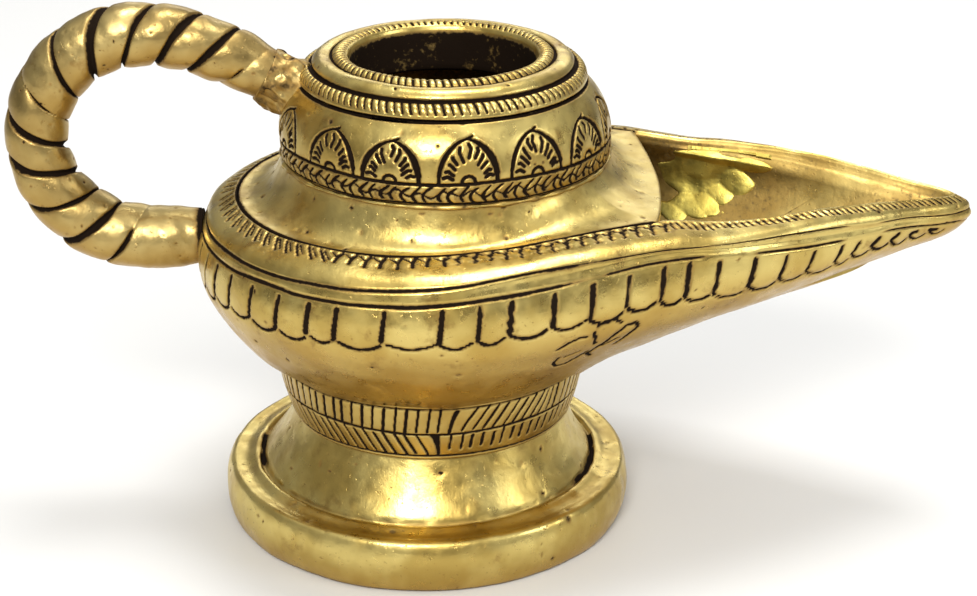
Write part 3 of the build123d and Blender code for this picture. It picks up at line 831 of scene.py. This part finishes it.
def build_bowl():
    v = bowl_rows()
    outer = np.array([
        full_outline(level_at(OUTER_LEVELS, k), SHARES, LIP_POINT if k > 6 else KEEL_POINT) for k in v
    ])
    inner_v = np.concatenate([np.linspace(0, 2, 7), np.linspace(2, 6, 9)[1:]])
    inner = np.array([full_outline(level_at(INNER_LEVELS, k), SHARES, LIP_POINT) for k in inner_v])
    near = outer[:, :BOWL_COLS]
    far = np.concatenate([outer[:, :1], outer[:, BOWL_COLS - 1:][:, ::-1]], axis=1)
    carved_near, carved_far = carve_half(near, v, NEAR_SEED), carve_half(far, v, FAR_SEED)
    points = np.concatenate([outer, inner])
    relief = Relief(points.shape[:2])
    count = len(v)
    for target, first, second in (
        (relief.height, carved_near.height, carved_far.height),
        (relief.dirt_and_shade, carved_near.dirt_and_shade, carved_far.dirt_and_shade),
    ):
        target[:count, :BOWL_COLS] = first
        target[:count, BOWL_COLS:] = second[:, 1:-1][:, ::-1]
    relief.dirt_and_shade[:2] = 0.9
    # painted shade inside the bowl and channel: dark all over, darker deeper down and towards the back
    # under the deck
    inside = 0.35 + 0.07 * waves(inner * np.array([0.35, 1, 1.6]), 9, 41)
    deep = ramp(-inner[..., 2], -36, -28)
    under = ramp(-inner[..., 0], -36, -26)
    relief.dirt_and_shade[count:] = np.clip(np.maximum(inside, np.maximum(0.75 * under, 0.3 * deep)), 0, 1)
    relief.pits(points, 90, 0.33, 0.07, 51, 25, 50)
    lift = relief.height + 0.06 * waves(points, 11, 52) + 0.03 * waves(points, 4, 53)
    lift[:1] = 0
    make_piece("bowl_chased", raised(points, lift, True), relief.dirt_and_shade, ENGRAVED, "bowl", True)


# ---- deck ----
DECK_FRONT_X, DECK_FRONT_R = 32.1, 90.0
DECK_FOOT_R, DECK_HOLE_R = 22.3, 20.9       # where it meets the collar, and its hole inside the collar
DECK_TOP_Z = 53.35


def build_deck():
    edge = full_outline(level_at(OUTER_LEVELS, CREST), np.linspace(0, 1, 900), LIP_POINT)
    edge[:, 2] -= 0.15
    hub = DECK_FRONT_X - DECK_FRONT_R
    edge = edge[np.hypot(edge[:, 0] - hub, edge[:, 1]) <= DECK_FRONT_R]
    turn = np.arctan2(edge[:, 1], edge[:, 0] - COLLAR_X)
    angle = round_angles(540) - math.pi
    order = np.argsort(turn)
    rim = [np.interp(angle, turn[order], edge[order][:, k], period=FULL_TURN) for k in range(3)]
    corner = np.abs(turn).min()
    across = np.abs(angle) < corner
    # over the spout the deck ends in a free, slightly bowed edge
    hub -= COLLAR_X
    reach = hub * np.cos(angle) + np.sqrt(DECK_FRONT_R**2 - (hub * np.sin(angle)) ** 2)
    rim_x = np.where(across, COLLAR_X + reach * np.cos(angle), rim[0])
    rim_y = np.where(across, reach * np.sin(angle), rim[1])
    side_z = float(edge[np.abs(turn).argmin()][2])
    rim_z = np.where(across, side_z - 0.5 * np.cos(angle / corner * math.pi / 2), rim[2])
    t = np.linspace(0, 1, 34)[:, None]
    foot_x, foot_y = COLLAR_X + DECK_FOOT_R * np.cos(angle), DECK_FOOT_R * np.sin(angle)
    x = foot_x + (rim_x - foot_x) * t**1.25
    y = foot_y + (rim_y - foot_y) * t**1.25
    z = DECK_TOP_Z + (rim_z - DECK_TOP_Z) * (1 - (1 - t) ** 2.3)
    top = np.stack([x, y, z], -1)[::-1]
    hole_x, hole_y = COLLAR_X + DECK_HOLE_R * np.cos(angle), DECK_HOLE_R * np.sin(angle)
    lip = np.stack([hole_x, hole_y, 53.3 + 0 * angle], -1)[None]
    under = top[::-1].copy()[1:-1:3]
    under[..., 2] -= 1.7
    under[..., :2] = 0.985 * (under[..., :2] - [COLLAR_X, 0]) + [COLLAR_X, 0]
    edge_low = top[:1].copy()
    edge_low[..., 2] -= 1.1
    inner_low = lip.copy()
    inner_low[..., 2] -= 1.9
    points = np.concatenate([top, lip, inner_low, under, edge_low])
    relief = Relief(points.shape[:2])
    count = len(top)
    relief.pits(points, 90, 0.36, 0.10, 61, 47.5, 53)
    rows = np.arange(count)[:, None]
    at_edge = np.exp(-rows / 1.1) * np.where(across, 0.25, 0.95)
    at_collar = 0.8 * np.exp(-((count - 1 - rows) / 1.6))
    at_back = 0.20 * ramp(-top[..., 0], -6, 20) * (0.7 + 0.3 * waves(top, 12, 64))
    film = np.maximum(np.maximum(at_edge, at_collar), at_back)
    relief.dirt_and_shade[:count] = np.maximum(relief.dirt_and_shade[:count], film)
    relief.dirt_and_shade[count + 1:-1] = 0.7
    lift = relief.height + 0.07 * waves(points, 12, 62) + 0.02 * waves(points, 5, 63)
    make_piece("deck_beaten", raised(points, lift), relief.dirt_and_shade, CAST, "deck_cover")


# ---- handle ----
HANDLE_PATH = (
    [(-30.9, 41.0), (-35.0, 40.85)]
    + arc((-38.6, 40.8), (-49.0, 45.6), (-52.7, 55.4), 9)
    + arc((-52.7, 55.4), (-48.7, 65.3), (-38.0, 69.8), 9)[1:]
    + arc((-38.0, 69.8), (-34.2, 69.6), (-30.6, 68.7), 4)[1:]
    + [(-25.8, 66.7), (-21.2, 64.2), (-16.9, 61.9)]
)
# Its radius, at distances along the path
HANDLE_RADIUS = (
    (0, 3.75), (3.5, 4.3), (9, 4.5), (16, 4.55), (30, 4.3),
    (44, 4.36), (56, 4.3), (63, 4.15), (68, 3.9), (72, 3.5),
)
TWIST = 10.4                # axial length of one turn of each of the two strands
SIDEWAYS = np.array([0.0, 1.0, 0.0])


def tube(centre, up, radius, turn):
    """Rings of points round a line in the plane y = 0, the turn counted from +Y."""
    return centre + radius[..., None] * (np.cos(turn)[:, None] * SIDEWAYS + np.sin(turn)[:, None] * up)


def build_handle():
    path, s = respace(HANDLE_PATH, 0.16)
    for _ in range(30):
        path[1:-1] = 0.25 * path[:-2] + 0.5 * path[1:-1] + 0.25 * path[2:]
    centre = np.stack([path[:, 0], np.zeros(len(path)), path[:, 1]], -1)
    tangent = np.gradient(centre, axis=0)
    tangent /= np.linalg.norm(tangent, axis=1, keepdims=True)
    up = np.cross(tangent, SIDEWAYS)
    phi = round_angles(150)
    knots = np.array(HANDLE_RADIUS)
    radius = smooth(knots[:, 0], knots[:, 1], s)[:, None]
    wobble = 0.35 * np.sin(s / 5.3) + 0.25 * np.sin(s / 2.9 + 1)
    strand = (phi[None] + FULL_TURN * (s / TWIST + 0.04 * wobble)[:, None]) / math.pi
    local = strand - np.floor(strand) - 0.5
    ends = ramp(s, 5.0, 10.0) * (1 - ramp(s, s[-1] - 8.5, s[-1] - 4.5))
    ends = ends[:, None]
    crown = np.cos(local * math.pi)
    surface = radius * (1 - 0.085 * ends * (1 - np.abs(crown) ** 0.7))
    slant = TWIST / 2 / math.hypot(1, TWIST / (FULL_TURN * 4.4))
    gap = (0.5 - np.abs(local)) * slant
    relief = Relief(surface.shape)
    width = 0.42 + 0.2 * np.sin(strand * 2.1)
    width = width + 0.16 * np.sin(phi * 2 + s[:, None]) + 0.1 * np.sin(phi * 5 + s[:, None])
    relief.cut(gap + 5 * (1 - ends), width, 0.6)
    points = tube(centre[:, None], up[:, None], surface + relief.height, phi)
    pits = Relief(surface.shape)
    pits.pits(points, 150, 0.22, 0.08, 71)
    lift = pits.height + 0.10 * waves(points, 6, 72) + 0.05 * waves(points, 2.6, 73)
    outward = points - centre[:, None]
    outward /= np.linalg.norm(outward, axis=-1, keepdims=True)
    points = points + outward * lift[..., None]
    dirt_and_shade = np.maximum(relief.dirt_and_shade, pits.dirt_and_shade)
    low_end = np.exp(-s / 0.55)[:, None]
    high_end = ramp(s, s[-1] - 9.5, s[-1] - 4.0)[:, None] * (0.28 + 0.16 * waves(points, 3, 74))
    dirt_and_shade = np.clip(np.maximum(dirt_and_shade, np.maximum(low_end, high_end)), 0, 1)
    make_piece("rope_handle", points, dirt_and_shade, ROPE, "handle", True)


# ---- brazed joints ----
def build_bead():
    """Lumpy bead round the collar's foot."""
    angle, phi = round_angles(720), round_angles(14)[:, None]
    ring = 22.6 * np.stack([np.cos(angle), np.sin(angle), 0 * angle], -1)
    lumps = waves(ring, 5, 81)[None] * 0.16 + waves(ring, 1.8, 82)[None] * 0.10
    bead = np.maximum(0.38 + lumps, 0.12)
    radial = DECK_FOOT_R + bead * np.cos(phi)
    height = COLLAR_FOOT_Z - 0.05 + 0.75 * bead * np.sin(phi)
    points = np.stack([COLLAR_X + radial * np.cos(angle), radial * np.sin(angle), height], -1)
    dirt_and_shade = np.clip(0.18 + 0.22 * waves(points, 3, 83), 0.0, 1)
    make_piece("collar_bead", points[::-1], dirt_and_shade[::-1], CAST, "collar_braze")


def build_sleeve(name, node, start, stop, slim, wide, rough, seed, dirty=None):
    """Sleeve round one end of the handle from start to stop, widening, with lumps of size rough."""
    a, b = np.array([start[0], 0, start[1]]), np.array([stop[0], 0, stop[1]])
    up = np.cross((b - a) / np.linalg.norm(b - a), SIDEWAYS)
    t = np.linspace(0, 1, 34)[:, None]
    turn = round_angles(120)
    centre = a + (b - a) * t[..., None]
    r = slim + 0.12 + (wide - slim) * t**2.2
    base = tube(centre, up, r, turn)
    swell = np.sin(np.clip(t * 1.15, 0, 1) * math.pi) ** 0.5
    r = r + swell * (rough * waves(base, 2.6, seed) + 0.5 * rough * waves(base, 1.1, seed + 1))
    points = tube(centre, up, r, turn)
    dirt_and_shade = np.clip(0.3 + 0.2 * waves(points, 2.2, seed + 2), 0.05, 1) if dirty is None else dirty + 0 * r
    make_piece(name, points, dirt_and_shade, ROPE, node, True)


# Lobes of the braze that ran down the far wall of the channel: x, z, half width, half height, thickness
SPILL = (
    (40.4, 43.6, 6.2, 4.4, 0.30), (40.9, 44.6, 3.8, 2.6, 0.42), (45.0, 43.0, 2.5, 2.3, 0.50),
    (43.2, 41.3, 2.3, 1.7, 0.40), (47.2, 45.8, 3.0, 1.2, 0.30), (38.5, 38.9, 2.9, 1.6, 0.42),
    (40.8, 39.5, 1.9, 1.4, 0.42), (36.4, 37.8, 2.4, 1.2, 0.40), (42.2, 46.0, 4.2, 1.2, 0.25),
)
SUNK, BACK_SUNK = 0.35, 0.6         # how deep its skin lies in the wall between the lobes, and its back


def build_spill():
    """Lobed patch of braze lying on the channel's far wall; its back is sunk in the wall."""
    rows, cols = 150, 190
    ranks = np.linspace(1.04, 3.5, rows)
    places = np.linspace(33.5, 51.5, cols)
    wall = np.empty((rows, cols, 3))
    for k, rank in enumerate(ranks):
        x, w, z = half_outline(level_at(INNER_LEVELS, rank), SHARES, LIP_POINT)
        wall[k] = np.stack([places, np.interp(places, x, w), np.interp(places, x, z)], -1)
    out = np.cross(np.gradient(wall, axis=1), np.gradient(wall, axis=0))
    out /= np.linalg.norm(out, axis=-1, keepdims=True)
    out *= -np.sign(out[..., 1:2])
    warp = 0.6 * waves(wall, 2.6, 91)
    thick = np.full((rows, cols), -SUNK)
    for x, z, wide, high, top in SPILL:
        d = np.hypot((wall[..., 0] - x) / wide, (wall[..., 2] - z) / high) + 0.25 * warp
        lobe = top * np.sqrt(np.clip(1 - d**2, 0, 1)) - SUNK * (d >= 1)
        thick = np.maximum(thick, lobe)
    for _ in range(2):
        thick[1:-1, 1:-1] = 0.2 * (
            thick[1:-1, 1:-1] + thick[:-2, 1:-1] + thick[2:, 1:-1] + thick[1:-1, :-2] + thick[1:-1, 2:]
        )
    thick += np.where(thick > 0, 0.05 * waves(wall, 2.8, 92), 0)
    fade = (ramp(ranks, 1.06, 1.34) * ramp(-ranks, -3.5, -3.4))[:, None] * ramp(-places, -51.5, -50.8)
    thick = (thick + SUNK) * fade - SUNK
    face = wall + out * thick[..., None]
    back = wall - out * BACK_SUNK
    verts = np.concatenate([face.reshape(-1, 3), back.reshape(-1, 3)])
    index = np.arange(rows * cols).reshape(rows, cols)
    a, b, c, d = index[:-1, :-1], index[:-1, 1:], index[1:, 1:], index[1:, :-1]
    front = np.stack([a, b, c, d], -1).reshape(-1, 4)
    rear = front[:, ::-1] + rows * cols
    edge = np.concatenate([index[0], index[1:, -1], index[-1, -2::-1], index[-2:0:-1, 0]])
    after = np.roll(edge, -1)
    skirt = np.stack([after, edge, edge + rows * cols, after + rows * cols], -1)
    mesh = bpy.data.meshes.new("braze_spill")
    mesh.from_pydata((verts * MM).tolist(), [], np.concatenate([front, rear, skirt]).tolist())
    mesh.polygons.foreach_set("use_smooth", np.ones(len(mesh.polygons), bool))
    mesh.update(calc_edges=True)
    dirt_and_shade = np.clip(0.25 * np.exp(-np.maximum(thick, 0) / 0.15) - 0.05, 0, 1)
    stand_in("braze_spill", mesh, np.stack([dirt_and_shade, dirt_and_shade]), BRAZE, "spout_braze")


build_foot()
build_neck()
build_collar()
build_rim()
build_bowl()
build_deck()
build_handle()
build_bead()
build_sleeve("handle_sleeve_high", "handle_high_braze", (-21.4, 64.2), (-16.6, 61.6), 3.65, 4.0, 0.28, 84)
build_sleeve(
    "handle_seam_low", "handle_low_braze", (-32.3, 40.95), (-30.6, 41.0), 3.4, 3.6, 0.06, 86, dirty=0.9
)
build_spill()


# ---- floor, light and camera ----
def build_floor():
    material = bpy.data.materials.new("floor_white")
    material.use_nodes = True
    shader = material.node_tree.nodes["Principled BSDF"]
    shader.inputs["Base Color"].default_value = (0.70, 0.70, 0.69, 1)
    shader.inputs["Roughness"].default_value = 0.7
    bpy.ops.mesh.primitive_plane_add(size=6)
    floor = bpy.context.object
    floor.name = "floor"
    floor.data.materials.append(material)


def build_sky():
    """Dim at the horizon and brighter overhead."""
    world = bpy.data.worlds.new("studio")
    bpy.context.scene.world = world
    world.use_nodes = True
    nodes, links = world.node_tree.nodes, world.node_tree.links
    axes = nodes.new("ShaderNodeSeparateXYZ")
    links.new(nodes.new("ShaderNodeTexCoord").outputs["Generated"], axes.inputs[0])
    shades = nodes.new("ShaderNodeValToRGB")
    stops = shades.color_ramp.elements
    for place, grey in ((0.0, 0.08), (0.25, 0.15), (0.55, 0.27), (1.0, 0.40)):
        stop = stops.new(place) if 0 < place < 1 else stops[int(place)]
        stop.color = (grey, grey * 0.99, grey * 0.97, 1)
    links.new(axes.outputs["Z"], shades.inputs["Fac"])
    links.new(shades.outputs["Color"], nodes["Background"].inputs["Color"])
    nodes["Background"].inputs["Strength"].default_value = 1.0


def softbox(name, place, aim, size, power, colour=(1, 1, 1)):
    light = bpy.data.lights.new(name, "AREA")
    light.shape = "RECTANGLE"
    light.size, light.size_y = size
    light.energy = power
    light.color = colour
    lamp = bpy.data.objects.new(name, light)
    bpy.context.scene.collection.objects.link(lamp)
    lamp.location = place
    lamp.rotation_euler = (Vector(aim) - Vector(place)).to_track_quat("-Z", "Y").to_euler()


build_floor()
build_sky()
LAMP = (0.01, 0, 0.03)
softbox("key", (-0.10, -0.66, 0.56), LAMP, (0.34, 0.22), 5.6, (1.0, 0.98, 0.94))
softbox("fill", (0.70, -0.30, 0.40), LAMP, (0.25, 0.3), 1.4, (0.95, 0.97, 1.0))
softbox("top", (0.08, 0.10, 0.85), (0.03, 0, 0.04), (0.34, 0.26), 4.0)
softbox("back", (0.15, 0.8, 0.42), LAMP, (0.8, 0.25), 1.3)
bpy.context.scene.view_settings.view_transform = "Standard"

LENS, SENSOR = 81.04, 36.0
CAMERA_RUN, CAMERA_HEIGHT = 0.28544, 0.15232      # in front of the foot's axis and above its rest face
LOOK_RIGHT, LOOK_DOWN, ROLL = (math.radians(degrees) for degrees in (1.765, 23.009, 0.152))
camera_data = bpy.data.cameras.new("camera")
camera_data.lens, camera_data.sensor_width = LENS, SENSOR
camera = bpy.data.objects.new("camera", camera_data)
bpy.context.scene.collection.objects.link(camera)
bpy.context.scene.camera = camera
camera.location = (0, -CAMERA_RUN, CAMERA_HEIGHT)
camera.rotation_mode = "QUATERNION"
aim = Vector((
    math.sin(LOOK_RIGHT) * math.cos(LOOK_DOWN),
    math.cos(LOOK_RIGHT) * math.cos(LOOK_DOWN),
    -math.sin(LOOK_DOWN),
))
camera.rotation_quaternion = Quaternion(aim, -ROLL) @ aim.to_track_quat("-Z", "Y")
